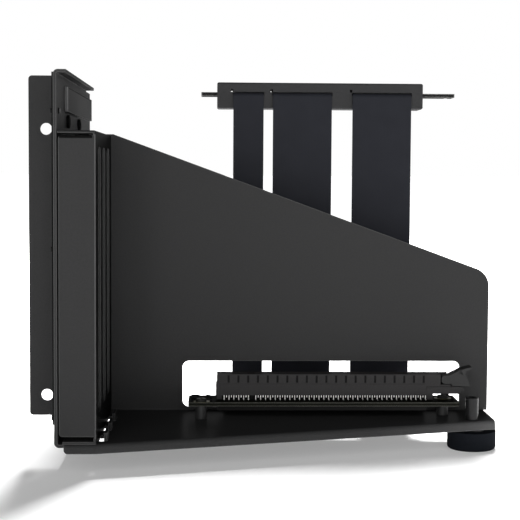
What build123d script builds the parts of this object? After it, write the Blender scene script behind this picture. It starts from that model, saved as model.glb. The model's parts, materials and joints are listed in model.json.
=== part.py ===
from build123d import *

import os
from math import atan2, cos, radians, sin, tan

# Vertical graphics card mount, in millimetres.
# Every place below is counted from one datum: x from the face that the card's bracket seats on,
# y from the front face of the tall wall, and z from the top of the base.

# Main sheet: base, front lip, tall wall and rear plate
sheet = 1.2
bend_inside = 0.6
sheet_gap = 0.3
corner_relief = 3.6
base_right = 157.15
wall_right = 158.65
base_front = -72.7
taper_start = -0.5
taper_end_front = -25.15
taper_round = 14.0
lip_drop = 3.5
lip_left = -12.0
lip_corner = 1.5
wall_rise = 0.5
wall_shoulder = 0.9
wall_slope = 19.95
wall_corner = 8.0
window_left = 29.8
window_right = 146.8
window_bottom = 1.3
window_top = 20.85
window_corner = 2.8

# Rear plate, folded up at the left
plate_inside = -14.2
plate_back = 59.5
plate_rise = 21.9
plate_flange = 3.4
plate_flange_back = 41.6
plate_step = 1.6
rail_front = -44.5
rail_end_gap = 3.0
rail_height = 9.5
rail_drop = 4.6
rail_raise = 1.1
upper_hole = 1.95
upper_hole_y = -37.1
upper_hole_spacing = 42.0
upper_hole_drop = 17.7
upper_collar_r = 2.45
upper_collar = 0.4

# Slot frame: an open tray of thinner sheet
tray_sheet = 1.0
tray_depth = 13.6
tray_height = 114.9
tray_edge_gap = 1.9
tray_bend = 0.8
panel_round = 1.2
tray_bottom_depth = 12.4
slot_pitch = 20.32
slot_count = 3
card_window_width = 13.0
card_window_first = -57.5
card_window_low = 9.9
card_window_drop = 5.8
card_window_corner = 4.0
card_screw_x = -6.4
card_screw_r = 1.6
collar_r = 2.6
collar_drop = 1.8

# Slots in the base for the feet of the card's bracket
tab_slot_width = 2.2
tab_slot_length = 11.0
tab_slot_shift = -3.3
tab_length = 10.0
tab_rise = 3.0

# Two-hole strip on the outside of the rear plate
angle_sheet = 1.0
angle_low = 6.6
angle_drop = 0.7
angle_setback = 4.2
angle_leg = 25.7
angle_reach = 12.1
angle_corner = 1.4
case_hole = 2.25
case_hole_x = -20.9
case_hole_low = 14.4
case_hole_spacing = 101.6

# Rivets
strip_rivet_r = 0.7
strip_rivet_head_r = 1.1
strip_rivet_inset = 2.6
rivet_r = 1.2
rivet_head_r = 2.1
rivet_head = 0.6
rivet_clearance = 0.05
base_rivet_front = 17.7
base_rivet_back = 18.0
wall_rivet_low = 30.0
wall_rivet_drop = 24.5

# Riser board and what stands on it
board_left = 32.6
board_length = 110.6
board_thick = 1.6
board_front = -21.7
board_back = -4.0
standoff_height = 5.3
standoff_r = 2.35
standoff_pin_r = 1.25
standoff_places = ((37.8, -19.2), (137.9, -10.6))
riser_screw_r = 0.95
riser_screw_length = 5.2
riser_screw_head_r = 2.2
riser_screw_head = 1.3
screw_clearance = 0.05
board_hole_r = 1.2
cover_left = 44.5
cover_right = 130.0
cover_front = -19.5
cover_depth = 2.3
clamp_left = 47.0
clamp_right = 131.6
clamp_back = 6.0
clamp_low = 1.9

# Card slot on the riser
slot_left = 44.2
slot_band_right = 135.4
slot_front = -14.2
slot_width = 7.5
slot_height = 10.4
slot_foot_grow = 0.4
slot_band_height = 4.0
groove_width = 1.8
groove_depth = 8.4
groove_left = 46.3
groove_right = 131.7
groove_chamfer = 0.5
pin_first = 47.2
pin_pitch = 1.0
pins_before_key = 11
pins_after_key = 71
key_gap = 3.0
key_width = 1.8
rib_first = 49.0
rib_pitch = 4.02
rib_count = 21
rib_groove = 0.8
rib_depth = 0.4
end_block_left = 130.6
end_foot_right = 133.2
end_block_right = 136.0
cheek_right = 140.0
cheek_thick = 1.2
ear_length = 9.8
ear_thick = 1.5
ear_low = 2.4
ear_high = 5.3
ear_round = 1.4
contact_width = 0.45
contact_thick = 0.25
contact_rise = 1.7
contact_toe = 1.9

# Retention latch
latch_pin_inset = 1.5
latch_gap = 0.3
latch_web_r = 1.9
latch_notch = 1.0
latch_pin_r = 0.8
latch_pin_clearance = 0.05

# Ribbons and the plug
ribbon_thick = 0.8
ribbon_y = 28.0
ribbon_lefts = (51.0, 68.3, 103.1)
ribbon_widths = (13.2, 25.7, 25.7)
ribbon_low_bend = 6.0
ribbon_high_bend = 1.5
ribbon_hold = 2.4
plug_left = 43.95
plug_right = 134.0
plug_front = 28.9
plug_depth = 15.1
plug_board_z = 133.35
plug_lower = 5.5
plug_cap = 4.1
plug_channel_width = 1.0
plug_channel_height = 1.2
plug_channel_gap = 0.1
plug_wall = 2.4
plug_board_left = 37.0
plug_board_length = 111.65
plug_board_front = 31.6
plug_ear_front = 33.0
plug_ear_back = 43.0
plug_tongue_left = 46.0
plug_tongue_right = 131.4
plug_tongue_back = 53.0
plug_key_depth = 7.4
plug_hook_width = 1.6
plug_hook_depth = 3.0
notch_clearance = 0.3

# Screwed foot under the right end
foot_inset = 9.15
foot_setback = 3.15
foot_r = 9.8
foot_height = 7.5
foot_lip_gap = 0.7
foot_round = 1.4
stud_r = 1.5
stud_clearance = 0.05
stud_height = 7.8
stud_flange_r = 5.0
stud_flange = 1.2
stud_tail = 3.0
post_r = 2.65
post_height = 9.2
post_pin_r = 2.2

# Worked out from the sizes above
wall_height = tray_height + wall_rise
plate_height = tray_height + plate_rise
card_window_high = tray_height - card_window_drop
rail_high = plate_height - rail_drop
rail_low = rail_high - rail_height
rail_back = plate_back - rail_end_gap
upper_hole_z = plate_height - upper_hole_drop
angle_high = plate_height - angle_drop
ear_reach = end_block_right + ear_length
latch_x = ear_reach - latch_pin_inset
foot_x = base_right - foot_inset
foot_y = taper_end_front + foot_setback
plate_outside = plate_inside - sheet
angle_outside = plate_outside - angle_sheet
angle_left = plate_outside - angle_reach
angle_front = base_front + angle_setback
angle_back = base_front + angle_leg
taper_angle = atan2(taper_end_front - base_front, base_right - taper_start)
foot_top = -lip_drop - foot_lip_gap
foot_bottom = foot_top - foot_height
board_z = standoff_height
board_top = board_z + board_thick
board_right = board_left + board_length
slot_top = board_top + slot_height
slot_back = slot_front + slot_width
slot_middle = (slot_front + slot_back) / 2
band_z = slot_top - slot_band_height
pin_span = (pins_before_key - 1) * pin_pitch + key_gap
key_middle = pin_first + (pins_before_key - 1) * pin_pitch + key_gap / 2
ribbon_clamp_z = board_z - cover_depth / 2
plug_back = plug_front + plug_depth
plug_bottom = plug_board_z - plug_lower
plug_seam = plug_board_z + board_thick
ribbon_plug_z = plug_seam - notch_clearance - ribbon_thick / 2
ear_z = (board_top + ear_low, board_top + ear_high)
latch_z = (ear_z[0] + ear_z[1]) / 2
plug_board_right = plug_board_left + plug_board_length

# The frame's origin is the middle of the part's footprint, at the height of the foot's underside.
seat_x = -(wall_right + angle_left) / 2
wall_y = -(base_front + plate_back) / 2
base_z = -foot_bottom
datum = Plane(origin=(seat_x, wall_y, base_z))


def flat(z):
    """A level sketch plane at a height above the base."""
    return datum.offset(z)


def upright(y):
    """A sketch plane that faces the front, with x to the right and z up."""
    return Plane(origin=(seat_x, wall_y + y, base_z), x_dir=(1, 0, 0), z_dir=(0, -1, 0))


def sideways(x):
    """A sketch plane that faces the right, with y to the right and z up."""
    return Plane(origin=(seat_x + x, wall_y, base_z), x_dir=(0, 1, 0), z_dir=(1, 0, 0))


def block(x0, x1, y0, y1, z0, z1, mode=Mode.ADD):
    """A plain box between two corners, joined to the part being built."""
    with Locations(((x0 + x1) / 2, (y0 + y1) / 2, (z0 + z1) / 2)):
        Box(x1 - x0, y1 - y0, z1 - z0, mode=mode)


def rod(x, y, z0, z1, radius, mode=Mode.ADD):
    """An upright cylinder between two heights."""
    with Locations((x, y, (z0 + z1) / 2)):
        Cylinder(radius, z1 - z0, mode=mode)


def rod_along_y(x, z, y0, y1, radius, mode=Mode.ADD):
    """A cylinder that runs front to back."""
    with Locations((x, (y0 + y1) / 2, z)):
        Cylinder(radius, y1 - y0, rotation=(90, 0, 0), mode=mode)


def rod_along_x(y, z, x0, x1, radius, mode=Mode.ADD):
    """A cylinder that runs left to right."""
    with Locations(((x0 + x1) / 2, y, z)):
        Cylinder(radius, x1 - x0, rotation=(0, 90, 0), mode=mode)


def edges_near(edges, axis, x=None, y=None, z=None):
    """Edges along one axis whose middle lies at the given places, counted from the datum."""
    chosen = edges.filter_by(axis)
    for value, start, pick in ((x, seat_x, 0), (y, wall_y, 1), (z, base_z, 2)):
        if value is not None:
            target = start + value
            chosen = chosen.filter_by(lambda e: abs(tuple(e.center())[pick] - target) < 0.01)
    return chosen


def card_window_y(i):
    """Middle of one of the card windows, counted from the front."""
    return card_window_first + i * slot_pitch


def card_windows(x0, x1, numbers, mode=Mode.SUBTRACT):
    """The card windows as cuts through the sheets between two x places."""
    height = card_window_high - card_window_low
    middle = (card_window_low + card_window_high) / 2
    with BuildSketch(sideways(x0)) as windows:
        with Locations(*[(card_window_y(i), middle) for i in numbers]):
            RectangleRounded(card_window_width, height, card_window_corner)
    extrude(windows.sketch, amount=x1 - x0, mode=mode)


def save(piece, name):
    """Label a finished piece and write it to its own file."""
    piece.part.label = name
    export_step(piece.part, f"parts/{name}.step")


os.makedirs("parts", exist_ok=True)

# Main frame
# One folded sheet. The front edge runs square to the box and then tapers back to the right,
# with a lip turned down along it.
inner_kink = (taper_start - sheet * tan(taper_angle / 2), base_front + sheet)
inner_right = (
    base_right - sheet * sin(taper_angle) + 10 * cos(taper_angle),
    taper_end_front + sheet * cos(taper_angle) + 10 * sin(taper_angle),
)
strip_rivet_y = angle_front + strip_rivet_inset
strip_rivet_places = (
    (strip_rivet_y, upper_hole_z + 3.0),
    (strip_rivet_y, (angle_low + angle_high) / 2),
    (strip_rivet_y, angle_low + 1.2 + strip_rivet_head_r),
)
base_rivet_ys = (base_front + base_rivet_front, -base_rivet_back)
wall_rivet_zs = (wall_rivet_low, tray_height - wall_rivet_drop)
tray_rivet_x = -tray_depth / 2
with BuildPart(datum) as main_frame:
    with BuildSketch(flat(-lip_drop)) as base_outline:
        with BuildLine():
            Polyline(
                (lip_left, base_front),
                (taper_start, base_front),
                (base_right, taper_end_front),
                (base_right, sheet),
                (lip_left, sheet),
                close=True,
            )
        make_face()
        kink = base_outline.vertices().sort_by_distance((taper_start, base_front, 0))[0]
        fillet(kink, taper_round)
    extrude(amount=lip_drop)
    with BuildSketch(flat(-lip_drop)) as under_base:
        with BuildLine():
            Polyline(
                (lip_left - 1, inner_kink[1]),
                inner_kink,
                inner_right,
                (inner_right[0], 2 * sheet),
                (lip_left - 1, 2 * sheet),
                close=True,
            )
        make_face()
        kink = under_base.vertices().sort_by_distance((*inner_kink, 0))[0]
        fillet(kink, taper_round - sheet)
    extrude(amount=lip_drop - sheet, mode=Mode.SUBTRACT)
    lip_end = edges_near(main_frame.edges(), Axis.Y, x=lip_left, z=-lip_drop)
    fillet(lip_end, lip_corner)
    bend_line = main_frame.faces().filter_by(Axis.Z).sort_by(Axis.Z)[-1].edges()
    front_bend = [e for e in bend_line if e.center().Y < wall_y - sheet and abs(e.center().X - seat_x - lip_left) > sheet]
    fillet([e for e in front_bend if abs(e.center().X - seat_x - base_right) > sheet], bend_inside + sheet)

    # Tall wall with its sloping top and the window that the riser passes through
    with BuildSketch(upright(sheet)) as wall_outline:
        with BuildLine():
            fall = tan(radians(wall_slope)) * (wall_right - wall_shoulder)
            Polyline(
                (lip_left, -sheet),
                (lip_left, corner_relief),
                (plate_inside + sheet_gap, corner_relief),
                (plate_inside + sheet_gap, wall_height),
                (wall_shoulder, wall_height),
                (wall_right, wall_height - fall),
                (wall_right, bend_inside + sheet_gap),
                (base_right, bend_inside + sheet_gap),
                (base_right, -sheet),
                close=True,
            )
        make_face()
        corner = wall_outline.vertices().sort_by_distance((wall_right, wall_height - fall, 0))[0]
        fillet(corner, wall_corner)
        with Locations(((window_left + window_right) / 2, (window_bottom + window_top) / 2)):
            RectangleRounded(
                window_right - window_left,
                window_top - window_bottom,
                window_corner,
                mode=Mode.SUBTRACT,
            )
    extrude(amount=sheet)
    fillet(edges_near(main_frame.edges(), Axis.X, y=0, z=0), bend_inside)
    fillet(edges_near(main_frame.edges(), Axis.X, y=sheet, z=-sheet), bend_inside + sheet)

    # Rear plate: the fold at its foot, the part behind the wall, and the flange along its top
    with BuildSketch(upright(base_front)) as plate_foot:
        with BuildLine():
            Polyline(
                (lip_left, 0),
                (plate_inside, 0),
                (plate_inside, plate_height - plate_step),
                (plate_outside, plate_height - plate_step),
                (plate_outside, -sheet),
                (lip_left, -sheet),
                close=True,
            )
        make_face()
        fillet(plate_foot.vertices().sort_by_distance((plate_inside, 0, 0))[0], bend_inside)
        outer = plate_foot.vertices().sort_by_distance((plate_outside, -sheet, 0))[0]
        fillet(outer, bend_inside + sheet)
    extrude(amount=base_front)
    block(plate_outside, plate_inside, 0, plate_back, -sheet, plate_height - plate_step)
    with BuildSketch(upright(base_front)) as plate_top:
        with BuildLine():
            Polyline(
                (plate_outside, rail_high),
                (plate_outside, plate_height),
                (plate_inside + plate_flange, plate_height),
                (plate_inside + plate_flange, plate_height - sheet),
                (plate_inside, plate_height - sheet),
                (plate_inside, rail_high),
                close=True,
            )
        make_face()
        outer = plate_top.vertices().sort_by_distance((plate_outside, plate_height, 0))[0]
        fillet(outer, bend_inside + sheet)
    extrude(amount=base_front - plate_flange_back)

    # Long rail pressed out of the rear plate, sheared open along its top and bottom
    with BuildSketch(flat(rail_low)):
        with BuildLine():
            Polyline(
                (plate_inside, rail_front),
                (plate_inside + rail_raise, rail_front + 2 * rail_raise),
                (plate_inside + rail_raise, rail_back),
                (plate_inside + rail_raise - sheet, rail_back),
                (plate_inside + rail_raise - sheet, rail_front + 3 * rail_raise),
                (plate_outside, rail_front + rail_raise),
                (plate_outside, rail_front),
                close=True,
            )
        make_face()
    extrude(amount=rail_high - rail_low)
    block(
        plate_outside,
        plate_inside + rail_raise - sheet,
        rail_front + 3 * rail_raise,
        rail_back,
        rail_low,
        rail_high,
        mode=Mode.SUBTRACT,
    )

    # Card windows, the two upper screw holes and the rivet holes in the rear plate
    card_windows(plate_outside - 1, plate_inside + 1, range(slot_count))
    for i in range(2):
        y = upper_hole_y + i * upper_hole_spacing
        rod_along_x(y, upper_hole_z, plate_inside, plate_inside + upper_collar, upper_collar_r)
        rod_along_x(y, upper_hole_z, plate_outside - 1, plate_inside + 1, upper_hole, Mode.SUBTRACT)
    for y, z in strip_rivet_places:
        hole = strip_rivet_r + rivet_clearance
        rod_along_x(y, z, plate_outside - 1, plate_inside + 1, hole, Mode.SUBTRACT)

    # Slots for the feet of the card's bracket, each with its guide tab turned up beside it
    for i in range(slot_count):
        y = card_window_y(i) + tab_slot_shift
        block(0, tab_slot_width, y - tab_slot_length / 2, y + tab_slot_length / 2, -sheet, 0, Mode.SUBTRACT)
        block(tab_slot_width, tab_slot_width + sheet, y - tab_length / 2, y + tab_length / 2, -sheet / 2, tab_rise)

    # Holes for the rivets, the standoffs and the foot's bush
    for y in base_rivet_ys:
        rod(tray_rivet_x, y, -lip_drop, 1, rivet_r + rivet_clearance, Mode.SUBTRACT)
    for z in wall_rivet_zs:
        rod_along_y(tray_rivet_x, z, -1, 2 * sheet, rivet_r + rivet_clearance, Mode.SUBTRACT)
    for x, y in standoff_places:
        rod(x, y, -lip_drop, 1, standoff_pin_r + screw_clearance, Mode.SUBTRACT)
    rod(foot_x, foot_y, -lip_drop, 1, post_pin_r + screw_clearance, Mode.SUBTRACT)
save(main_frame, "main_frame")

# Slot frame
# A tray open to the rear: its floor is the face that the card's bracket seats on. The front, top,
# bottom and back rims are folded away from the card, with open corners between them.
with BuildPart(datum) as slot_frame:
    block(-tray_sheet, 0, base_front, 0, 0, tray_height)
    block(
        -tray_depth,
        0,
        base_front,
        base_front + tray_sheet,
        tray_sheet + tray_edge_gap,
        tray_height - tray_sheet - tray_edge_gap / 2,
    )
    block(plate_inside + 0.3, 0, base_front, 0, tray_height - tray_sheet, tray_height)
    block(-tray_bottom_depth, 0, base_front, 0, 0, tray_sheet)
    block(-tray_depth, 0, -tray_sheet, 0, 0, tray_sheet, Mode.SUBTRACT)
    block(-tray_bottom_depth, 0, -tray_sheet, 0, tray_sheet + tray_edge_gap, tray_height - tray_sheet - tray_edge_gap)
    fillet(edges_near(slot_frame.edges(), Axis.Z, x=0, y=base_front), tray_bend)
    fillet(edges_near(slot_frame.edges(), Axis.Y, x=0, z=tray_height), tray_bend)
    fillet(edges_near(slot_frame.edges(), Axis.Y, x=-tray_depth), panel_round)
    card_windows(-2 * tray_sheet, tray_sheet, range(slot_count))
    for i in range(slot_count):
        y = card_window_y(i)
        rod(card_screw_x, y, tray_height - tray_sheet - collar_drop, tray_height - tray_sheet / 2, collar_r)
    for i in range(slot_count):
        y = card_window_y(i)
        rod(card_screw_x, y, tray_height - tray_sheet - 2 * collar_drop, tray_height + 1, card_screw_r, Mode.SUBTRACT)
    for y in base_rivet_ys:
        rod(tray_rivet_x, y, -1, 2 * tray_sheet, rivet_r + rivet_clearance, Mode.SUBTRACT)
    for z in wall_rivet_zs:
        rod_along_y(tray_rivet_x, z, -2 * tray_sheet, 1, rivet_r + rivet_clearance, Mode.SUBTRACT)
save(slot_frame, "slot_frame")

# Two-hole strip
# Its leg lies against the rear plate and its flange stands out behind the case's screw ledge.
with BuildPart(datum) as rear_angle:
    block(angle_outside, plate_outside, angle_front, angle_back, angle_low, angle_high)
    block(angle_left, plate_outside, angle_back - angle_sheet, angle_back, angle_low, angle_high)
    fillet(edges_near(rear_angle.edges(), Axis.Y, x=angle_left), angle_corner)
    fillet(edges_near(rear_angle.edges(), Axis.Z, x=plate_outside, y=angle_back), angle_sheet)
    card_windows(angle_outside - 1, plate_outside + 1, range(1))
    for z in (case_hole_low, case_hole_low + case_hole_spacing):
        rod_along_y(case_hole_x, z, angle_back - 2 * angle_sheet, angle_back + 1, case_hole, Mode.SUBTRACT)
    for y, z in strip_rivet_places:
        hole = strip_rivet_r + rivet_clearance
        rod_along_x(y, z, angle_outside - 1, plate_outside + 1, hole, Mode.SUBTRACT)
save(rear_angle, "rear_angle")

# Rivets
# Each is a shank with a low head on both sides of the two sheets that it joins.
with BuildPart(datum) as angle_rivets:
    for y, z in strip_rivet_places:
        rod_along_x(y, z, angle_outside - rivet_head, angle_outside, strip_rivet_head_r)
        rod_along_x(y, z, angle_outside, plate_inside, strip_rivet_r)
        rod_along_x(y, z, plate_inside, plate_inside + rivet_head, strip_rivet_head_r)
save(angle_rivets, "angle_rivets")

with BuildPart(datum) as frame_rivets:
    for y in base_rivet_ys:
        rod(tray_rivet_x, y, -sheet - rivet_head, -sheet, rivet_head_r)
        rod(tray_rivet_x, y, -sheet, tray_sheet, rivet_r)
        rod(tray_rivet_x, y, tray_sheet, tray_sheet + rivet_head, rivet_head_r)
    for z in wall_rivet_zs:
        rod_along_y(tray_rivet_x, z, -tray_sheet - rivet_head, -tray_sheet, rivet_head_r)
        rod_along_y(tray_rivet_x, z, -tray_sheet, sheet, rivet_r)
        rod_along_y(tray_rivet_x, z, sheet, sheet + rivet_head, rivet_head_r)
save(frame_rivets, "frame_rivets")

# Riser board on its two standoffs
with BuildPart(datum) as riser_board:
    block(board_left, board_right, board_front, board_back, board_z, board_top)
    fillet(riser_board.edges().filter_by(Axis.Z), 1.0)
    for x, y in standoff_places:
        rod(x, y, board_z - 1, board_top + 1, board_hole_r, Mode.SUBTRACT)
save(riser_board, "riser_board")

with BuildPart(datum) as riser_standoffs:
    for x, y in standoff_places:
        rod(x, y, 0, standoff_height, standoff_r)
        rod(x, y, -sheet, 0, standoff_pin_r)
    for x, y in standoff_places:
        rod(x, y, board_top - riser_screw_length - 0.3, standoff_height, riser_screw_r + screw_clearance, Mode.SUBTRACT)
save(riser_standoffs, "riser_standoffs")

with BuildPart(datum) as riser_screws:
    for x, y in standoff_places:
        rod(x, y, board_top - riser_screw_length, board_top, riser_screw_r)
        rod(x, y, board_top, board_top + riser_screw_head, riser_screw_head_r)
    head_tops = riser_screws.edges().filter_by(GeomType.CIRCLE).group_by(Axis.Z)[-1]
    fillet(head_tops, riser_screw_head / 2)
    for x, y in standoff_places:
        recess = board_top + riser_screw_head * 0.4
        top = board_top + riser_screw_head
        arm = riser_screw_head_r * 0.55
        block(x - arm, x + arm, y - 0.25, y + 0.25, recess, top, Mode.SUBTRACT)
        block(x - 0.25, x + 0.25, y - arm, y + arm, recess, top, Mode.SUBTRACT)
save(riser_screws, "riser_screws")

with BuildPart(datum) as solder_cover:
    block(cover_left, cover_right, cover_front, board_back, board_z - cover_depth, board_z)
    chamfer(solder_cover.faces().sort_by(Axis.Z)[0].edges(), 0.4)
save(solder_cover, "solder_cover")

# Clamp that holds the ribbons behind the board, in the wall's window
with BuildPart(datum) as ribbon_clamp:
    block(clamp_left, clamp_right, board_back, clamp_back, clamp_low, board_top)
    chamfer(ribbon_clamp.faces().sort_by(Axis.Z)[-1].edges().filter_by(Axis.X), 0.8)
    for left, width in zip(ribbon_lefts, ribbon_widths):
        block(
            left - notch_clearance,
            left + width + notch_clearance,
            clamp_back - ribbon_hold,
            clamp_back,
            ribbon_clamp_z - ribbon_thick / 2 - notch_clearance,
            ribbon_clamp_z + ribbon_thick / 2 + notch_clearance,
            Mode.SUBTRACT,
        )
save(ribbon_clamp, "ribbon_clamp")

# Small parts soldered to the board's two free ends
board_part_places = (
    (34.2, -19.6, 1.2, 1.8, 0.6),
    (35.0, -13.6, 2.6, 3.4, 1.0),
    (35.4, -7.4, 3.2, 1.6, 0.8),
    (40.6, -6.2, 1.6, 0.8, 0.6),
    (41.8, -13.8, 1.0, 2.0, 0.9),
    (41.9, -18.6, 0.8, 1.6, 0.6),
    (134.0, -18.4, 1.6, 0.8, 0.6),
    (139.8, -18.8, 1.6, 0.8, 0.6),
    (141.2, -15.6, 0.8, 1.6, 0.6),
    (139.8, -5.6, 3.0, 1.6, 0.9),
)
with BuildPart(datum) as board_parts:
    for x, y, length, width, height in board_part_places:
        block(x - length / 2, x + length / 2, y - width / 2, y + width / 2, board_top, board_top + height)
save(board_parts, "board_parts")

# Card slot
# The body stands on a slightly wider foot. Its upper band carries shallow upright grooves, and the
# right end runs out into a cheek behind the latch's nose and two ears that hold the latch.
ear_front = (slot_front - slot_foot_grow, slot_front - slot_foot_grow + ear_thick)
ear_rear = (slot_back - ear_thick, slot_back)
latch_half = (slot_width + slot_foot_grow) / 2 - ear_thick - latch_gap
latch_middle = (ear_front[1] + ear_rear[0]) / 2
with BuildPart(datum) as slot_housing:
    block(slot_left, slot_band_right, slot_front, slot_back, ear_z[0], slot_top)
    block(slot_left, end_foot_right, slot_front, slot_back, board_top, ear_z[0])
    block(
        slot_left - slot_foot_grow,
        end_block_left,
        slot_front - slot_foot_grow / 2,
        slot_back,
        board_top + contact_rise,
        band_z,
    )
    block(end_block_left, end_foot_right, ear_front[0], slot_back, board_top, ear_z[1])
    block(end_block_left, end_block_right, ear_front[0], slot_back, *ear_z)
    block(end_block_left, cheek_right, slot_back - cheek_thick, slot_back, ear_z[0], slot_top)
    for y0, y1 in (ear_front, ear_rear):
        block(end_block_right, ear_reach, y0, y1, *ear_z)
    fillet(edges_near(slot_housing.edges(), Axis.Y, x=ear_reach), ear_round)
    for x0, x1 in ((groove_left, key_middle - key_width / 2), (key_middle + key_width / 2, groove_right)):
        y0 = slot_middle - groove_width / 2
        y1 = slot_middle + groove_width / 2
        block(x0, x1, y0, y1, slot_top - groove_depth, slot_top, Mode.SUBTRACT)
    lead_in = [
        e
        for e in slot_housing.edges().filter_by(Axis.X).group_by(Axis.Z)[-1]
        if abs(e.center().Y - wall_y - slot_middle) < groove_width
    ]
    chamfer(lead_in, groove_chamfer)
    rib_low = band_z + 0.5
    rib_top = slot_top - 0.5
    rib_xs = [rib_first + i * rib_pitch for i in range(rib_count)]
    rib_ys = (slot_front + rib_depth / 2, slot_back - rib_depth / 2)
    with Locations(*[(x, y, (rib_low + rib_top) / 2) for x in rib_xs for y in rib_ys]):
        Box(rib_groove, rib_depth, rib_top - rib_low, mode=Mode.SUBTRACT)
    rod_along_y(
        latch_x,
        latch_z,
        ear_front[0] - 1,
        ear_rear[1] + 1,
        latch_pin_r + latch_pin_clearance,
        Mode.SUBTRACT,
    )
save(slot_housing, "slot_housing")


def pin_places():
    """The x of every contact, with the gap at the key."""
    before = [pin_first + i * pin_pitch for i in range(pins_before_key)]
    after = [pin_first + pin_span + i * pin_pitch for i in range(pins_after_key)]
    return before + after


# Contacts, a row on each side: a short leg out of the body's foot and a toe along the board
for name, face, outward in (("front_contacts", slot_front, -1), ("rear_contacts", slot_back, 1)):
    leg_y = face + outward * contact_thick / 2
    toe_y = face + outward * contact_toe / 2
    with BuildPart(datum) as contacts:
        with Locations(*[(x, leg_y, board_top + contact_rise / 2) for x in pin_places()]):
            Box(contact_width, contact_thick, contact_rise)
        with Locations(*[(x, toe_y, board_top + contact_thick / 2) for x in pin_places()]):
            Box(contact_width, contact_toe, contact_thick)
    save(contacts, name)

# Retention latch
# A lever over the ears, with a rounded nose for the card's hook, a flat thumb pad that rises to the
# right, and a web between the ears that turns on two stub pins.
lever_rest = ear_z[1] + latch_gap
lever_depth = slot_width + slot_foot_grow - cheek_thick - latch_gap
lever_points = (
    (latch_x - 3.3, lever_rest),
    (latch_x - 3.3, lever_rest + 0.9),
    (latch_x - 5.9, lever_rest + 0.9),
    (latch_x - 7.5, lever_rest + 1.3),
    (latch_x - 7.5, lever_rest + 4.2),
    (latch_x - 4.5, lever_rest + 4.3),
    (latch_x + 0.8, lever_rest + 6.9),
    (latch_x + 4.9, lever_rest + 7.9),
    (latch_x + 4.9, lever_rest + 6.9),
    (latch_x + 2.5, lever_rest + 6.1),
    (latch_x + 2.4, lever_rest + 4.5),
    (latch_x + 4.3, lever_rest + 0.4),
    (latch_x + 4.3, lever_rest),
)
notch_points = (
    (latch_x - 0.6, lever_rest + 5.3),
    (latch_x + 1.5, lever_rest + 4.7),
    (latch_x + 0.2, lever_rest + 7.2),
    (latch_x - 0.6, lever_rest + 6.8),
)
with BuildPart(datum) as latch_lever:
    with BuildSketch(upright(ear_front[0] + lever_depth)) as lever_outline:
        with BuildLine():
            Polyline(*lever_points, close=True)
        make_face()
        fillet(lever_outline.vertices().group_by(Axis.X)[0], 1.2)
    extrude(amount=lever_depth)
    with BuildSketch(upright(ear_front[0] + latch_notch)):
        with BuildLine():
            Polyline(*notch_points, close=True)
        make_face()
    extrude(amount=latch_notch, mode=Mode.SUBTRACT)
    with BuildSketch(upright(latch_middle + latch_half)):
        with Locations((latch_x, latch_z)):
            Circle(latch_web_r)
        with Locations((latch_x, latch_z + latch_web_r)):
            Rectangle(2 * latch_web_r, 2 * latch_web_r)
    extrude(amount=2 * latch_half)
    rod_along_y(latch_x, latch_z, ear_front[0], ear_rear[1], latch_pin_r)
save(latch_lever, "latch_lever")

# Ribbons
# Each leaves the clamp behind the wall, turns up, hangs flat in one plane and turns back into the
# plug just under its cap.
ribbon_names = ("ribbon_narrow", "ribbon_middle", "ribbon_wide")
for name, left, width in zip(ribbon_names, ribbon_lefts, ribbon_widths):
    with BuildPart(datum) as ribbon:
        with BuildLine(sideways(left)) as run:
            low = (ribbon_y - ribbon_low_bend, ribbon_clamp_z)
            high = (ribbon_y, ribbon_plug_z - ribbon_high_bend)
            Line((clamp_back - ribbon_hold, ribbon_clamp_z), low)
            RadiusArc(low, (ribbon_y, ribbon_clamp_z + ribbon_low_bend), -ribbon_low_bend)
            Line((ribbon_y, ribbon_clamp_z + ribbon_low_bend), high)
            RadiusArc(high, (ribbon_y + ribbon_high_bend, ribbon_plug_z), ribbon_high_bend)
            Line((ribbon_y + ribbon_high_bend, ribbon_plug_z), (plug_board_front, ribbon_plug_z))
        start = Plane(
            origin=(seat_x + left, wall_y + clamp_back - ribbon_hold, base_z + ribbon_clamp_z),
            x_dir=(1, 0, 0),
            z_dir=(0, 1, 0),
        )
        with BuildSketch(start):
            Rectangle(width, ribbon_thick, align=(Align.MIN, Align.CENTER))
        sweep(path=run.wires()[0])
    save(ribbon, name)

# Plug: its board and the two shells that grip it
with BuildPart(datum) as plug_board:
    block(plug_tongue_left, plug_tongue_right, plug_board_front, plug_tongue_back, plug_board_z, plug_seam)
    block(plug_board_left, plug_board_right, plug_ear_front, plug_ear_back, plug_board_z, plug_seam)
    block(
        key_middle - key_width / 2,
        key_middle + key_width / 2,
        plug_tongue_back - plug_key_depth,
        plug_tongue_back,
        plug_board_z,
        plug_seam,
        Mode.SUBTRACT,
    )
    block(
        plug_board_right - 2 * plug_hook_width,
        plug_board_right - plug_hook_width,
        plug_ear_back - plug_hook_depth,
        plug_ear_back,
        plug_board_z,
        plug_seam,
        Mode.SUBTRACT,
    )
    tongue_tips = [
        e
        for e in plug_board.edges().filter_by(Axis.X)
        if abs(e.center().Y - wall_y - plug_tongue_back) < 0.01
    ]
    chamfer(tongue_tips, 0.4)
save(plug_board, "plug_board")

with BuildPart(datum) as plug_shell_bottom:
    block(plug_left, plug_right, plug_front, plug_back, plug_bottom, plug_board_z)
    block(plug_left, plug_right, plug_front, plug_front + plug_wall, plug_board_z, plug_seam)
    for left, width in zip(ribbon_lefts, ribbon_widths):
        block(
            left - notch_clearance,
            left + width + notch_clearance,
            plug_front,
            plug_front + plug_wall,
            plug_board_z,
            plug_seam,
            Mode.SUBTRACT,
        )
    bottom_edges = plug_shell_bottom.faces().sort_by(Axis.Z)[0].edges()
    chamfer(bottom_edges, 0.6)
save(plug_shell_bottom, "plug_shell_bottom")

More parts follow.
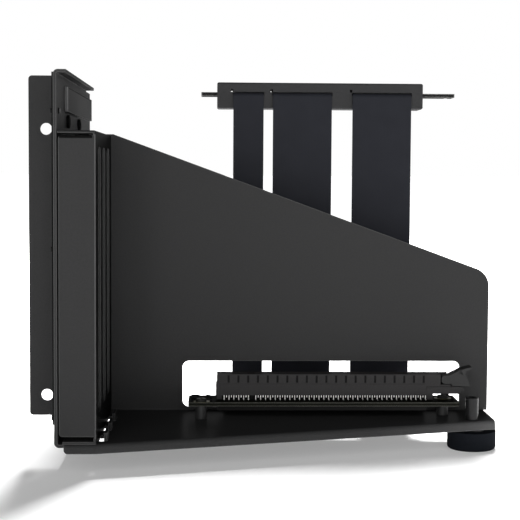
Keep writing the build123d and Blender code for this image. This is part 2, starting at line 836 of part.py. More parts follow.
with BuildPart(datum) as plug_shell_top:
    block(plug_left, plug_right, plug_front, plug_back, plug_seam, plug_seam + plug_cap)
    fillet(plug_shell_top.faces().sort_by(Axis.Z)[-1].edges(), 0.8)
    for left, width in zip(ribbon_lefts, ribbon_widths):
        channel_right = left - plug_channel_gap
        channel_top = plug_seam + plug_channel_height
        block(
            channel_right - plug_channel_width,
            channel_right,
            plug_front,
            plug_back,
            plug_seam,
            channel_top,
            Mode.SUBTRACT,
        )
save(plug_shell_top, "plug_shell_top")

# Foot: a threaded bush in the base, a stud that runs in it, and the pad on the stud
with BuildPart(datum) as foot_post:
    rod(foot_x, foot_y, 0, post_height, post_r)
    rod(foot_x, foot_y, -sheet, 0, post_pin_r)
    rod(foot_x, foot_y, -sheet, post_height, stud_r, Mode.SUBTRACT)
    rims = foot_post.edges().filter_by(GeomType.CIRCLE).group_by(Axis.Z)[-1]
    chamfer(rims, 0.3)
save(foot_post, "foot_post")

with BuildPart(datum) as foot_stud:
    rod(foot_x, foot_y, foot_top - stud_flange - stud_tail, stud_height, stud_r - stud_clearance)
    rod(foot_x, foot_y, foot_top - stud_flange, foot_top, stud_flange_r)
    stud_tip = foot_stud.edges().filter_by(GeomType.CIRCLE).group_by(Axis.Z)[-1]
    chamfer(stud_tip, 0.4)
save(foot_stud, "foot_stud")

with BuildPart(datum) as foot_pad:
    rod(foot_x, foot_y, foot_bottom, foot_top, foot_r)
    pad_rim = foot_pad.edges().filter_by(GeomType.CIRCLE).group_by(Axis.Z)[0]
    fillet(pad_rim, foot_round)
    rod(foot_x, foot_y, foot_top - stud_flange, foot_top, stud_flange_r + stud_clearance, Mode.SUBTRACT)
    rod(foot_x, foot_y, foot_top - stud_flange - stud_tail - 0.3, foot_top, stud_r, Mode.SUBTRACT)
save(foot_pad, "foot_pad")
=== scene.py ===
import json
from math import cos, radians, sin

import bmesh
import bpy
from mathutils import Matrix, Vector

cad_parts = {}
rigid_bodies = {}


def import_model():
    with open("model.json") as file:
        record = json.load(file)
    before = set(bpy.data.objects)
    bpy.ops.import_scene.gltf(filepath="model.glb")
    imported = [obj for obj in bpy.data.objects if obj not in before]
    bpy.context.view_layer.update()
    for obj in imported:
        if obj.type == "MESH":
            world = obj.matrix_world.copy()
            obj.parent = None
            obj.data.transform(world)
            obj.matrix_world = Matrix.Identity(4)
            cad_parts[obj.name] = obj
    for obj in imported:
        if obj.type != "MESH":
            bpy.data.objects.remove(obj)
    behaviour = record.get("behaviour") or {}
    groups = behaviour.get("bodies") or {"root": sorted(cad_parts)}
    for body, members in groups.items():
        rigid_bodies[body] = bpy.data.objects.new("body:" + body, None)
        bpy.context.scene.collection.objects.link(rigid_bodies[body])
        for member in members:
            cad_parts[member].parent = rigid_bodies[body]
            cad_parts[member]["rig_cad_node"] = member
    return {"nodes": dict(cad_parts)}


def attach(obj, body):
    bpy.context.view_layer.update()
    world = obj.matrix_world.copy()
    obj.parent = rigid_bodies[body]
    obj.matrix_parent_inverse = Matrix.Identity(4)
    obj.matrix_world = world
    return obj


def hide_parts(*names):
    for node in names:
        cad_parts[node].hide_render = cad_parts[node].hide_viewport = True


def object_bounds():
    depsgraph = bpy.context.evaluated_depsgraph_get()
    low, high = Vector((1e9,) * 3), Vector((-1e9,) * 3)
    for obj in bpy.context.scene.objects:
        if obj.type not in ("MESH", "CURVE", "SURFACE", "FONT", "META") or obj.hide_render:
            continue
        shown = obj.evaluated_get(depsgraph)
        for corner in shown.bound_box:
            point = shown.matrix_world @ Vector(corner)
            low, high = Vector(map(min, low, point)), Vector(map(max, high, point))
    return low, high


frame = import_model()
cadBox = [list(corner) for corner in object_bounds()]
bpy.ops.object.select_all(action="DESELECT")
print("frame loaded", len(frame["nodes"]), "nodes")

# The pieces' places are in millimetres from the CAD's datum, where the card seat, the wall's front and
# the base's top meet. It lies this far from the low corner of the CAD's box.
datumFromCorner = (27.5, 72.7, 11.7)
datum = Vector(cadBox[0]) * 1000 + Vector(datumFromCorner)
# The cosine from which a face counts as pointing along a way
facingLeast = 0.8


def at(x, y, z):
    return (datum + Vector((x, y, z))) / 1000


# Shader nodes
# A socket is given by its name or number. It takes a value, or another node's output to link to.
def feed(owner, node, socket, value):
    if isinstance(value, bpy.types.NodeSocket):
        owner.node_tree.links.new(value, node.inputs[socket])
    else:
        node.inputs[socket].default_value = value


def addNode(owner, kind, sockets=None, **settings):
    node = owner.node_tree.nodes.new("ShaderNode" + kind)
    for key, value in settings.items():
        setattr(node, key, value)
    for socket, value in (sockets or {}).items():
        feed(owner, node, socket, value)
    return node


def setShader(mat, socket, value):
    feed(mat, mat.node_tree.nodes["Principled BSDF"], socket, value)


def objectPlace(owner):
    return addNode(owner, "TexCoord").outputs["Object"]


def trueNormal(mat):
    return addNode(mat, "NewGeometry").outputs["True Normal"]


def colorMix(mat, share, dark, light):
    mix = addNode(mat, "Mix", {"Factor": share, "A": dark, "B": light}, data_type="RGBA")
    setShader(mat, "Base Color", mix.outputs["Result"])
    return mix.outputs["Result"]


def scaled(color, share):
    return (*(part * share for part in color), 1)


# What all the materials share
def newMaterial(name, color, roughness, metallic=0.0, specular=0.5, gloss=None):
    mat = bpy.data.materials.new(name)
    mat.use_nodes = True
    setShader(mat, "Base Color", (*color, 1))
    setShader(mat, "Roughness", roughness)
    setShader(mat, "Metallic", metallic)
    setShader(mat, "Specular IOR Level", specular)
    if gloss:
        setShader(mat, "Coat Weight", gloss[0])
        setShader(mat, "Coat Roughness", gloss[1])
    return mat


def objectNoise(mat, scale, detail, stretch=(1, 1, 1)):
    mapping = addNode(mat, "Mapping", {"Vector": objectPlace(mat), "Scale": stretch})
    noise = addNode(mat, "TexNoise", {"Vector": mapping.outputs["Vector"], "Scale": scale, "Detail": detail})
    return noise.outputs["Fac"]


# The roughness drifts between two ends with a noise, whose values lie mostly in this span.
noiseSpan = (0.3, 0.7)


def driftingRoughness(mat, noise, low, high):
    ends = {"Value": noise, "From Min": noiseSpan[0], "From Max": noiseSpan[1], "To Min": low, "To Max": high}
    setShader(mat, "Roughness", addNode(mat, "MapRange", ends).outputs["Result"])


# Edges and narrow cut faces are paler where the rounded normal leaves the true one: on the sheet coats this
# is partly a thinner coat on cut edges and partly a painted highlight, and on the boards a paler cut edge.
paleEdgeAndHighlightSizes = {"samples": 6, "start": 0.995, "full": 0.93}


def paleEdgesAndHighlights(mat, coat, width, color):
    bevel = addNode(mat, "Bevel", {"Radius": width}, samples=paleEdgeAndHighlightSizes["samples"])
    normals = {0: bevel.outputs["Normal"], 1: trueNormal(mat)}
    turned = addNode(mat, "VectorMath", normals, operation="DOT_PRODUCT")
    ends = {"From Min": paleEdgeAndHighlightSizes["start"], "From Max": paleEdgeAndHighlightSizes["full"]}
    span = addNode(mat, "MapRange", {"Value": turned.outputs["Value"], **ends})
    colorMix(mat, span.outputs["Result"], coat, (*color, 1))


# Fine relief on the surface, and edges rounded by a small radius
reliefSizes = {"samples": 4, "strength": 1.0}


def relief(mat, height, distance, rounding):
    bevel = addNode(mat, "Bevel", {"Radius": rounding}, samples=reliefSizes["samples"])
    sockets = {"Height": height, "Strength": reliefSizes["strength"], "Distance": distance}
    bump = addNode(mat, "Bump", {**sockets, "Normal": bevel.outputs["Normal"]})
    setShader(mat, "Normal", bump.outputs["Normal"])


# Finishes. In their dictionaries a noise has its scale, its detail and at times its stretch, and lengths
# are in metres. Dark and light are the ends of the colour that the noise mixes.
# Powder coat on the sheet metal: an orange-peel surface with a trace of gloss
powderSizes = {"peel": (1500, 3), "cloud": (60, 3), "drift": 0.03, "dark": 0.85, "light": 1.15, "tint": 1.01,
               "edge": 0.0006, "height": 0.000012, "rounding": 0.00025, "gloss": (0.06, 0.3)}


def powderCoat(name, shade, roughness, edgeShade):
    sizes = powderSizes
    color = (shade, shade, shade * sizes["tint"])
    mat = newMaterial(name, color, roughness, specular=0.0, gloss=sizes["gloss"])
    peel = objectNoise(mat, *sizes["peel"])
    cloud = objectNoise(mat, *sizes["cloud"])
    driftingRoughness(mat, cloud, roughness - sizes["drift"], roughness + sizes["drift"])
    coat = colorMix(mat, peel, scaled(color, sizes["dark"]), scaled(color, sizes["light"]))
    paleEdgesAndHighlights(mat, coat, sizes["edge"], (edgeShade,) * 3)
    relief(mat, peel, sizes["height"], sizes["rounding"])
    return mat


# Moulded plastic and rubber
plasticSizes = {"grain": (2600, 2), "cloud": (90, 2), "drift": 0.04, "dark": 0.85, "light": 1.2,
                "height": 0.000008}


def mouldedPlastic(name, color, roughness, rounding=0.00015, gloss=(0.1, 0.25)):
    sizes = plasticSizes
    mat = newMaterial(name, color, roughness, specular=0.0, gloss=gloss)
    grain = objectNoise(mat, *sizes["grain"])
    cloud = objectNoise(mat, *sizes["cloud"])
    driftingRoughness(mat, cloud, roughness - sizes["drift"], roughness + sizes["drift"])
    colorMix(mat, grain, scaled(color, sizes["dark"]), scaled(color, sizes["light"]))
    relief(mat, grain, sizes["height"], rounding)
    return mat


# Turned, stamped or plated metal with faint lines around it
metalSizes = {"lines": (500, 2, (1, 1, 12)), "smoother": 0.05, "rougher": 0.08, "dark": 0.85, "light": 1.1,
              "height": 0.000006, "rounding": 0.0002}


def turnedMetal(name, color, roughness, metallic=1.0, specular=0.5, gloss=None):
    sizes = metalSizes
    mat = newMaterial(name, color, roughness, metallic, specular, gloss)
    lines = objectNoise(mat, *sizes["lines"])
    driftingRoughness(mat, lines, roughness - sizes["smoother"], roughness + sizes["rougher"])
    colorMix(mat, lines, scaled(color, sizes["dark"]), scaled(color, sizes["light"]))
    relief(mat, lines, sizes["height"], sizes["rounding"])
    return mat


# Circuit board: tracks that show through the mask, and a paler cut edge
boardSizes = {"weave": (900, 1), "tracks": (260, 0, (0.25, 1, 1)), "dark": 0.7, "light": 1.5, "edge": 0.0008,
              "height": 0.000005, "rounding": 0.0001, "roughness": 0.45, "gloss": (0.02, 0.2)}


def solderMask(name, color, cutEdge):
    sizes = boardSizes
    mat = newMaterial(name, color, sizes["roughness"], specular=0.0, gloss=sizes["gloss"])
    weave = objectNoise(mat, *sizes["weave"])
    tracks = objectNoise(mat, *sizes["tracks"])
    mask = colorMix(mat, tracks, scaled(color, sizes["dark"]), scaled(color, sizes["light"]))
    paleEdgesAndHighlights(mat, mask, sizes["edge"], cutEdge)
    relief(mat, weave, sizes["height"], sizes["rounding"])
    return mat


# Ribbon film, with the fine ridges of its wires along it
filmSizes = {"ridges": 500, "cloud": (120, 3), "drift": 0.05, "dark": 0.9, "light": 1.12, "height": 0.00001,
             "rounding": 0.0002, "roughness": 0.5, "gloss": (0.05, 0.3)}


def ribbonFilm(name, color):
    sizes = filmSizes
    mat = newMaterial(name, color, sizes["roughness"], specular=0.0, gloss=sizes["gloss"])
    sockets = {"Vector": objectPlace(mat), "Scale": sizes["ridges"], "Distortion": 0.0}
    ridges = addNode(mat, "TexWave", sockets, wave_type="BANDS", bands_direction="X").outputs["Fac"]
    cloud = objectNoise(mat, *sizes["cloud"])
    colorMix(mat, cloud, scaled(color, sizes["dark"]), scaled(color, sizes["light"]))
    driftingRoughness(mat, cloud, sizes["roughness"] - sizes["drift"], sizes["roughness"] + sizes["drift"])
    relief(mat, ridges, sizes["height"], sizes["rounding"])
    return mat


# The frame, the tray and the strip wear one powder coat; the small differences in their shades and edge
# shades are painted light and shade, set to how brightly each part is lit.
frameCoat = powderCoat("frameCoat", shade=0.033, roughness=0.6, edgeShade=0.08)
trayCoat = powderCoat("trayCoat", shade=0.030, roughness=0.6, edgeShade=0.07)
stripCoat = powderCoat("stripCoat", shade=0.031, roughness=0.6, edgeShade=0.036)
# A pale coat that paints highlights
paintedHighlightCoat = powderCoat("paintedHighlightCoat", shade=0.13, roughness=0.5, edgeShade=0.16)
# A paler coat for the tray's cut edge: partly a thinner coat, partly a painted highlight
cutEdgeAndHighlightCoat = powderCoat("cutEdgeAndHighlightCoat", shade=0.065, roughness=0.5, edgeShade=0.075)
# A near-black coat that paints shade
paintedShadeCoat = powderCoat("paintedShadeCoat", shade=0.005, roughness=0.5, edgeShade=0.008)
slotPlastic = mouldedPlastic("slotPlastic", (0.030, 0.029, 0.0292), 0.45)
latchPlastic = mouldedPlastic("latchPlastic", (0.034, 0.034, 0.034), 0.45)
clampPlastic = mouldedPlastic("clampPlastic", (0.008, 0.008, 0.008), 0.5)
plugPlastic = mouldedPlastic("plugPlastic", (0.032, 0.032, 0.033), 0.5)
chipPlastic = mouldedPlastic("chipPlastic", (0.006, 0.006, 0.006), 0.5, gloss=(0.02, 0.3))
# A darker plastic that paints the shade in the slot's grooves
grooveShadePlastic = mouldedPlastic("grooveShadePlastic", (0.012, 0.012, 0.012), 0.5, gloss=(0.02, 0.3))
footRubber = mouldedPlastic("footRubber", (0.0085, 0.0098, 0.0125), 0.6, rounding=0.0003, gloss=(0.03, 0.4))
boardMask = solderMask("boardMask", (0.008, 0.0085, 0.0065), cutEdge=(0.08, 0.08, 0.07))
plugMask = solderMask("plugMask", (0.012, 0.012, 0.012), cutEdge=(0.16, 0.16, 0.155))
contactTin = turnedMetal("contactTin", (0.82, 0.82, 0.80), 0.3)
gilt = turnedMetal("gilt", (0.42, 0.34, 0.16), 0.35)
ringGilt = turnedMetal("ringGilt", (0.09, 0.08, 0.04), 0.5, metallic=0.4, specular=0.1)
postMetal = turnedMetal("postMetal", (0.012, 0.012, 0.0125), 0.3, 0.0, specular=0.05, gloss=(0.2, 0.06))
standoffMetal = turnedMetal("standoffMetal", (0.026, 0.026, 0.026), 0.4, metallic=0.0, specular=0.3)
screwMetal = turnedMetal("screwMetal", (0.02, 0.02, 0.018), 0.5, metallic=0.0, specular=0.1)
studSteel = turnedMetal("studSteel", (0.05, 0.05, 0.052), 0.4, metallic=0.3, specular=0.1)
rivetMetal = turnedMetal("rivetMetal", (0.012, 0.012, 0.012), 0.4, metallic=0.0, specular=0.05)
ribbonSkin = ribbonFilm("ribbonSkin", (0.0190, 0.0200, 0.0245))

# Painted shade on places that the light hardly reaches: inside a box between two corners, the faces that
# point along the given way, or all of them, take a darker colour.
paintedShadePlaces = {
    "strip's leg, in the fold": {
        "coat": stripCoat,
        "low": (-16.38, -80, -5),
        "high": (-15.2, 80, 140),
        "way": None,
        "shade": 0.003,
    },
    "tray's right side": {
        "coat": trayCoat,
        "low": (-1.5, -80, -5),
        "high": (1, 5, 120),
        "way": (1, 0, 0),
        "shade": 0.008,
    },
    "top of the tray's front panel": {
        "coat": trayCoat,
        "low": (-13.2, -80, 112.05),
        "high": (-1.25, -70, 113.88),
        "way": (0, -1, 0),
        "shade": 0.001,
    },
}


def paintShadeOnCoat(coat, low, high, way, shade):
    shares = []
    place = addNode(coat, "SeparateXYZ", {"Vector": objectPlace(coat)})
    for axis, start, end in zip("XYZ", at(*low), at(*high)):
        span = {0: place.outputs[axis], 1: (start + end) / 2, 2: (end - start) / 2}
        shares.append(addNode(coat, "Math", span, operation="COMPARE"))
    if way:
        turn = addNode(coat, "VectorMath", {0: trueNormal(coat), 1: way}, operation="DOT_PRODUCT")
        facing = {0: turn.outputs["Value"], 1: facingLeast}
        shares.append(addNode(coat, "Math", facing, operation="GREATER_THAN"))
    share = shares[0].outputs["Value"]
    for other in shares[1:]:
        both = addNode(coat, "Math", {0: share, 1: other.outputs["Value"]}, operation="MULTIPLY")
        share = both.outputs["Value"]
    base = coat.node_tree.nodes["Principled BSDF"].inputs["Base Color"]
    colorMix(coat, share, base.links[0].from_socket, (shade, shade, shade, 1))


for spot in paintedShadePlaces.values():
    paintShadeOnCoat(**spot)

nodeMaterials = {
    "main_frame": frameCoat,
    "slot_frame": trayCoat,
    "rear_angle": stripCoat,
    "frame_rivets": rivetMetal,
    "angle_rivets": rivetMetal,
    "riser_board": boardMask,
    "solder_cover": clampPlastic,
    "ribbon_clamp": clampPlastic,
    "board_parts": chipPlastic,
    "slot_housing": slotPlastic,
    "front_contacts": contactTin,
    "rear_contacts": contactTin,
    "latch_lever": latchPlastic,
    "riser_standoffs": standoffMetal,
    "riser_screws": screwMetal,
    "ribbon_narrow": ribbonSkin,
    "ribbon_middle": ribbonSkin,
    "ribbon_wide": ribbonSkin,
    "plug_board": plugMask,
    "plug_shell_top": plugPlastic,
    "plug_shell_bottom": plugPlastic,
    "foot_post": postMetal,
    "foot_stud": studSteel,
    "foot_pad": footRubber,
}
for obj in bpy.data.objects:
    mat = nodeMaterials.get(obj.get("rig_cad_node"))
    if mat:
        obj.data.materials.clear()
        obj.data.materials.append(mat)
print("materials assigned")


# Shaping helpers for the small pieces, with sizes in millimetres
def deselectAll():
    if bpy.context.object and bpy.context.object.mode == "EDIT":
        bpy.ops.object.mode_set(mode="OBJECT")
    bpy.ops.object.select_all(action="DESELECT")


def applyModifier(piece, kind, **settings):
    bpy.context.view_layer.objects.active = piece
    modifier = piece.modifiers.new(kind.title(), kind)
    for key, value in settings.items():
        setattr(modifier, key, value)
    bpy.ops.object.modifier_apply(modifier=modifier.name)


def bevelled(piece, width, segments=1):
    applyModifier(piece, "BEVEL", width=width / 1000, segments=segments)
    return piece


def thickened(piece, thick):
    applyModifier(piece, "SOLIDIFY", thickness=thick / 1000, offset=1)
    return piece


# The piece and its copies, in a row along x
def inRow(piece, count, pitch):
    step = (pitch / 1000, 0, 0)
    applyModifier(
        piece,
        "ARRAY",
        count=count,
        use_relative_offset=False,
        use_constant_offset=True,
        constant_offset_displace=step,
    )
    return piece


def addBlock(name, xs, ys, zs):
    deselectAll()
    low, high = (at(*corner) for corner in zip(sorted(xs), sorted(ys), sorted(zs)))
    bpy.ops.mesh.primitive_cube_add(size=1, location=(low + high) / 2)
    piece = bpy.context.object
    piece.name = name
    piece.scale = high - low
    bpy.ops.object.transform_apply(location=True, rotation=True, scale=True)
    return piece


# A flat ring with its bore cut out, level or turned
def addRing(place, outer, bore, corners, turn=(0, 0, 0)):
    deselectAll()
    bpy.ops.mesh.primitive_circle_add(
        vertices=corners, radius=outer / 1000, fill_type="NGON", location=at(*place), rotation=turn
    )
    ring = bpy.context.object
    bpy.ops.object.transform_apply(location=True, rotation=True, scale=True)
    bpy.ops.object.mode_set(mode="EDIT")
    bpy.ops.mesh.select_all(action="SELECT")
    bpy.ops.mesh.inset(thickness=(outer - bore) / 1000)
    bpy.ops.mesh.delete(type="FACE")
    bpy.ops.object.mode_set(mode="OBJECT")
    return ring


# Cuts the block at a height and draws out its side below the cut, along the given way.
def drawOut(piece, height, way, reach):
    way = Vector(way)
    level = at(0, 0, height)
    bpy.ops.object.mode_set(mode="EDIT")
    bpy.ops.mesh.select_all(action="SELECT")
    bpy.ops.mesh.bisect(plane_co=level, plane_no=(0, 0, 1))
    bpy.ops.mesh.select_all(action="DESELECT")
    bpy.ops.mesh.select_mode(type="FACE")
    mesh = bmesh.from_edit_mesh(piece.data)
    for face in mesh.faces:
        face.select_set(face.normal.dot(way) > facingLeast and face.calc_center_median().z < level.z)
    bmesh.update_edit_mesh(piece.data)
    bpy.ops.mesh.extrude_region_move(TRANSFORM_OT_translate={"value": way * reach / 1000})
    bpy.ops.object.mode_set(mode="OBJECT")


def joined(name, parts):
    deselectAll()
    for part in parts:
        part.select_set(True)
    bpy.context.view_layer.objects.active = parts[0]
    if len(parts) > 1:
        bpy.ops.object.join()
    piece = bpy.context.object
    piece.name = name
    piece.data.name = name
    return piece


def finished(piece, mat, body, replaced=()):
    piece.data.materials.clear()
    piece.data.materials.append(mat)
    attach(piece, body)
    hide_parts(*replaced)
    return piece


# Faces that several pieces start from: the riser board's top in z, the slot's front in y, and the rear
# plate's right face in x
boardTop = 6.9
slotFront = -14.2
plateFace = -14.2

# Where the contacts stand along the slot: so many before the key, and the rest after a gap
pinRow = {"first": 47.2, "pitch": 1.0, "before": 11, "after": 71, "gap": 3.0}
afterKey = pinRow["first"] + (pinRow["before"] - 1) * pinRow["pitch"] + pinRow["gap"]
pinGroups = ((pinRow["first"], pinRow["before"]), (afterKey, pinRow["after"]))

# Contact rows: long legs with a toe on the board, and between them short ones that end above it
contactSizes = {"width": 0.34, "thick": 0.25, "rise": 1.7, "toe": 1.65, "lift": 0.85, "bevel": 0.05}
contactFaces = {"front": (slotFront, -1), "rear": (-6.7, 1)}


def contactLeg(name, x, face, outward, foot):
    sizes = contactSizes
    half = sizes["width"] / 2
    ys = (face, face + outward * sizes["thick"])
    return addBlock(name, (x - half, x + half), ys, (foot, boardTop + sizes["rise"]))


def contactRow(name, node, face, outward):
    sizes = contactSizes
    legs = []
    for start, count in pinGroups:
        toed = contactLeg(name, start, face, outward, boardTop)
        drawOut(toed, boardTop + sizes["thick"], (0, outward, 0), sizes["toe"] - sizes["thick"])
        short = contactLeg(name, start + pinRow["pitch"], face, outward, boardTop + sizes["lift"])
        for leg, share in ((toed, (count + 1) // 2), (short, count // 2)):
            legs.append(inRow(bevelled(leg, sizes["bevel"]), share, 2 * pinRow["pitch"]))
    return finished(joined(name, legs), contactTin, "mount", (node,))


contactRow("frontContactRow", "front_contacts", *contactFaces["front"])
contactRow("rearContactRow", "rear_contacts", *contactFaces["rear"])
print("contact rows")

# Gilt rings on the board under the heads of its two screws, cut off at the board's front edge
ringSizes = {"places": ((37.8, -19.2), (137.9, -10.6)), "outer": 3.6, "bore": 2.3, "corners": 48,
             "thick": 0.06, "cut": -21.6}


def padRing(x, y):
    ring = addRing((x, y, boardTop), ringSizes["outer"], ringSizes["bore"], ringSizes["corners"])
    bpy.ops.object.mode_set(mode="EDIT")
    bpy.ops.mesh.select_all(action="SELECT")
    bpy.ops.mesh.bisect(plane_co=at(x, ringSizes["cut"], boardTop), plane_no=(0, -1, 0), clear_outer=True)
    bpy.ops.object.mode_set(mode="OBJECT")
    return thickened(ring, ringSizes["thick"])


rings = [padRing(x, y) for x, y in ringSizes["places"]]
finished(joined("padRings", rings), ringGilt, "mount")
print("pad rings")

# Gilt fingers on both faces of the plug's tongue
fingerSizes = {"low": 133.35, "high": 134.95, "ys": (45.6, 52.5), "width": 0.62, "thick": 0.05}
fingers = []
for start, count in pinGroups:
    for z in (fingerSizes["low"] - fingerSizes["thick"], fingerSizes["high"]):
        xs = (start - fingerSizes["width"] / 2, start + fingerSizes["width"] / 2)
        finger = addBlock("finger", xs, fingerSizes["ys"], (z, z + fingerSizes["thick"]))
        fingers.append(inRow(finger, count, pinRow["pitch"]))
finished(joined("plugFingers", fingers), gilt, "mount")
print("plug fingers")

# Drawn collars inside the two upper holes of the rear plate, in a near-black coat that paints the shade
# around the holes
collarSizes = {"ys": (-37.1, 4.9), "z": 119.1, "outer": 2.55, "bore": 1.95, "corners": 40, "depth": 1.2,
               "bevel": 0.12}
collars = []
for y in collarSizes["ys"]:
    place = (plateFace, y, collarSizes["z"])
    rim = (collarSizes["outer"], collarSizes["bore"], collarSizes["corners"])
    collar = addRing(place, *rim, turn=(0, radians(90), 0))
    collars.append(bevelled(thickened(collar, collarSizes["depth"]), collarSizes["bevel"], 2))
finished(joined("drawnCollars", collars), paintedShadeCoat, "mount")
print("drawn collars")

# Dark strips of painted shade behind the contact legs
contactShadeSizes = {"xs": (46.2, 131.8), "lift": 0.02, "high": 1.68, "thick": 0.06, "bevel": 0.02}
contactShades = []
for face, outward in contactFaces.values():
    ys = (face, face + outward * contactShadeSizes["thick"])
    zs = (boardTop + contactShadeSizes["lift"], boardTop + contactShadeSizes["high"])
    contactShades.append(bevelled(addBlock("carrier", contactShadeSizes["xs"], ys, zs), contactShadeSizes["bevel"]))
finished(joined("contactCarriers", contactShades), chipPlastic, "mount")
print("contact carriers")

# The slot's body runs on to the latch's nose, and under it as a low step
noseSizes = {"left": 135.35, "nose": 136.5, "foot": 140.7, "back": -7.9, "low": 12.2, "step": 13.1,
             "high": 17.3, "bevel": 0.12}
rest = addBlock(
    "noseRest",
    (noseSizes["left"], noseSizes["nose"]),
    (slotFront, noseSizes["back"]),
    (noseSizes["low"], noseSizes["high"]),
)
drawOut(rest, noseSizes["step"], (1, 0, 0), noseSizes["foot"] - noseSizes["nose"])
finished(bevelled(rest, noseSizes["bevel"], 2), slotPlastic, "mount")
print("nose rest")

# Dark strips of painted shade where the rear plate is lanced, standing for the shadowed slits: along the top
# of the raised rail, and along the plate below it
slitShadowSizes = {
    "raised": {"face": -13.1, "ys": (-42.0, 55.6), "zs": (131.6, 132.05)},
    "below": {"face": plateFace, "ys": (-43.6, 2.0), "zs": (122.0, 122.75)},
    "proud": 0.06,
    "bevel": 0.02,
}
slitShadows = []
for sizes in (slitShadowSizes["raised"], slitShadowSizes["below"]):
    xs = (sizes["face"], sizes["face"] + slitShadowSizes["proud"])
    slitShadows.append(bevelled(addBlock("slit", xs, sizes["ys"], sizes["zs"]), slitShadowSizes["bevel"]))
finished(joined("railSlits", slitShadows), paintedShadeCoat, "mount")
print("rail slits")

# The closed front end of the raised rail, in a pale coat that paints the highlight on it
railEndSizes = {"rise": 1.12, "ys": (-44.7, -42.6), "zs": (122.75, 132.1), "bevel": 0.2}
railXs = (plateFace, plateFace + railEndSizes["rise"])
railEnd = addBlock("railEnd", railXs, railEndSizes["ys"], railEndSizes["zs"])
finished(bevelled(railEnd, railEndSizes["bevel"], 3), paintedHighlightCoat, "mount")
print("rail end")

# The foot of the wall's right edge
wallFootSizes = {"xs": (157.15, 158.65), "ys": (0, 1.2), "zs": (0, 0.9), "bevel": 0.1}
wallFoot = addBlock("wallFoot", wallFootSizes["xs"], wallFootSizes["ys"], wallFootSizes["zs"])
finished(bevelled(wallFoot, wallFootSizes["bevel"], 2), frameCoat, "mount")
print("wall foot")

# The cut front edge of the tray's right side, paler: partly a thinner coat on the cut edge, partly a painted
# highlight
trayEdgeSizes = {"xs": (-0.6, -0.1), "ys": (-72.7, -72.28), "zs": (2.0, 113.5), "bevel": 0.04}
trayEdge = addBlock("trayEdge", trayEdgeSizes["xs"], trayEdgeSizes["ys"], trayEdgeSizes["zs"])
finished(bevelled(trayEdge, trayEdgeSizes["bevel"]), cutEdgeAndHighlightCoat, "mount")
print("tray edge")

# Painted shade: dark strips on the floors of the grooves in the slot's upper band
grooveSizes = {"first": 49.0, "pitch": 4.02, "count": 21, "width": 0.78, "ys": (-13.87, -13.82),
               "zs": (13.85, 16.75), "bevel": 0.02}
grooveXs = (grooveSizes["first"] - grooveSizes["width"] / 2, grooveSizes["first"] + grooveSizes["width"] / 2)
grooveShadeStrip = addBlock("grooveFloor", grooveXs, grooveSizes["ys"], grooveSizes["zs"])
inRow(bevelled(grooveShadeStrip, grooveSizes["bevel"]), grooveSizes["count"], grooveSizes["pitch"])
finished(grooveShadeStrip, grooveShadePlastic, "mount")
print("groove floors")

# The floor has a light of its own, in metres from the middle: low around the object, so that the
# shadow there stays pale, and full further out.
floorSizes = {"size": 60, "shade": 0.8, "roughness": 0.9, "near": 0.22, "rim": 0.8, "own": 0.26, "far": 1.0}
bpy.ops.mesh.primitive_plane_add(size=floorSizes["size"], location=(0, 0, 0))
floor = bpy.context.object
floor.name = "floor"
floorColor = (floorSizes["shade"],) * 3
floorMaterial = newMaterial("floorMaterial", floorColor, floorSizes["roughness"], specular=0.0)
reach = addNode(floorMaterial, "VectorMath", {0: objectPlace(floorMaterial)}, operation="LENGTH")
fadeEnds = {
    "Value": reach.outputs["Value"],
    "From Min": floorSizes["near"],
    "From Max": floorSizes["rim"],
    "To Min": floorSizes["own"],
    "To Max": floorSizes["far"],
}
fade = addNode(floorMaterial, "MapRange", fadeEnds, interpolation_type="SMOOTHSTEP")
setShader(floorMaterial, "Emission Color", (1, 1, 1, 1))
setShader(floorMaterial, "Emission Strength", fade.outputs["Result"])
floor.data.materials.append(floorMaterial)
print("floor")

# A white surround for the camera. What lights the object is brightest in front, dimmer behind, and
# faint elsewhere. Each lobe grows from its low light to its high one between two cosines from its aim.
worldLight = {
    "base": 0.035,
    "lobes": (
        {"aim": (0.0, 0.0, 1.0), "start": 0.0, "end": 0.3, "low": 0.14, "high": 0.0},
        {"aim": (-0.1, -0.99, -0.04), "start": 0.5, "end": 0.97, "low": 0.0, "high": 1.9},
        {"aim": (0.1, 1.0, 0.0), "start": 0.6, "end": 0.97, "low": 0.0, "high": 0.8},
    ),
}
world = bpy.data.worlds.new("studio")
bpy.context.scene.world = world
world.use_nodes = True
heading = addNode(world, "TexCoord").outputs["Generated"]
strength = worldLight["base"]
for lobe in worldLight["lobes"]:
    aims = {0: heading, 1: Vector(lobe["aim"]).normalized()}
    cosine = addNode(world, "VectorMath", aims, operation="DOT_PRODUCT").outputs["Value"]
    ends = {
        "Value": cosine,
        "From Min": lobe["start"],
        "From Max": lobe["end"],
        "To Min": lobe["low"],
        "To Max": lobe["high"],
    }
    ramp = addNode(world, "MapRange", ends, interpolation_type="SMOOTHSTEP")
    strength = addNode(world, "Math", {0: strength, 1: ramp.outputs["Result"]}).outputs["Value"]
cameraRay = addNode(world, "LightPath").outputs["Is Camera Ray"]
seen = addNode(world, "Mix", {"Factor": cameraRay, "A": strength, "B": 1.0})
background = world.node_tree.nodes["Background"]
feed(world, background, "Color", (1, 1, 1, 1))
feed(world, background, "Strength", seen.outputs["Result"])
print("surround")

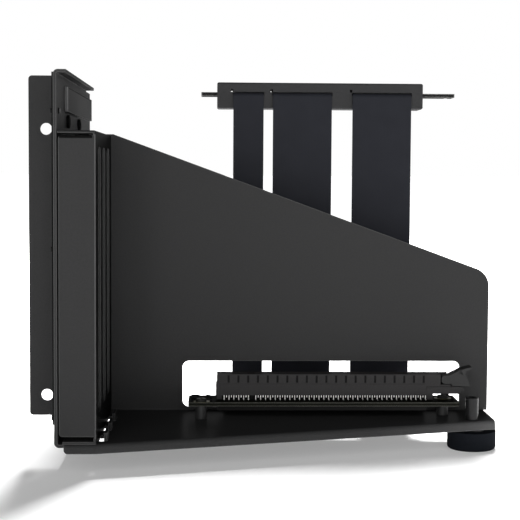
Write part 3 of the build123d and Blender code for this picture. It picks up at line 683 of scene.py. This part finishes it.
# Lamps, in metres. The overhead box lights the floor alone and gives the object its shadow, and the
# side card lights the main frame alone, at the right end of its lip.
lamps = {
    "overheadBox": {
        "place": (0.12, 0.85, 1.15),
        "aim": (0, 0, 0.05),
        "size": 0.5,
        "spread": 180,
        "power": 75.0,
        "only": "floor",
    },
    "frontBox": {
        "place": (-0.25, -1.4, 0.1),
        "aim": (0, 0, 0.05),
        "size": 0.6,
        "spread": 180,
        "power": 1.4,
        "only": None,
    },
    "sideCard": {
        "place": (0.125, -0.016, 0.011),
        "aim": (0.09, -0.024, 0.01),
        "size": 0.01,
        "spread": 40,
        "power": 0.01,
        "only": "main_frame",
    },
}
for name, sizes in lamps.items():
    bpy.ops.object.light_add(type="AREA", location=sizes["place"])
    lamp = bpy.context.object
    lamp.name = name
    lamp.data.size = sizes["size"]
    lamp.data.energy = sizes["power"]
    lamp.data.spread = radians(sizes["spread"])
    aim = Vector(sizes["aim"]) - Vector(sizes["place"])
    lamp.rotation_euler = aim.to_track_quat("-Z", "Y").to_euler()
    lamp.visible_camera = False
    if sizes["only"]:
        lit = bpy.data.collections.new(name + "Lit")
        for obj in bpy.data.objects:
            if sizes["only"] in (obj.name, obj.get("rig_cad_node")):
                lit.objects.link(obj)
        lamp.light_linking.receiver_collection = lit
print("lamps")

# The photograph's camera: its place, its turns in degrees, and its focal length in pixels
cameraPlace = {"place": (43.14, -565.71, 100.67), "yaw": 1.917, "pitch": 3.771, "roll": 0.345}
cameraLens = {"focal": 1355.0, "picture": 520, "sensor": 36, "clip": 0.01}
yaw, pitch, roll = (radians(cameraPlace[key]) for key in ("yaw", "pitch", "roll"))
forward = Vector((sin(yaw) * cos(pitch), cos(yaw) * cos(pitch), -sin(pitch)))
levelRight = Vector((cos(yaw), -sin(yaw), 0))
levelUp = levelRight.cross(forward)
right = cos(roll) * levelRight + sin(roll) * levelUp
up = cos(roll) * levelUp - sin(roll) * levelRight
bpy.ops.object.camera_add()
camera = bpy.context.object
camera.name = "photoCamera"
camera.data.sensor_width = cameraLens["sensor"]
camera.data.lens = cameraLens["focal"] / cameraLens["picture"] * cameraLens["sensor"]
camera.data.clip_start = cameraLens["clip"]
turn = Matrix((right, up, -forward)).transposed().to_4x4()
camera.matrix_world = Matrix.Translation(at(*cameraPlace["place"])) @ turn
bpy.context.scene.camera = camera
bpy.context.scene.view_settings.view_transform = "Standard"
print("camera")
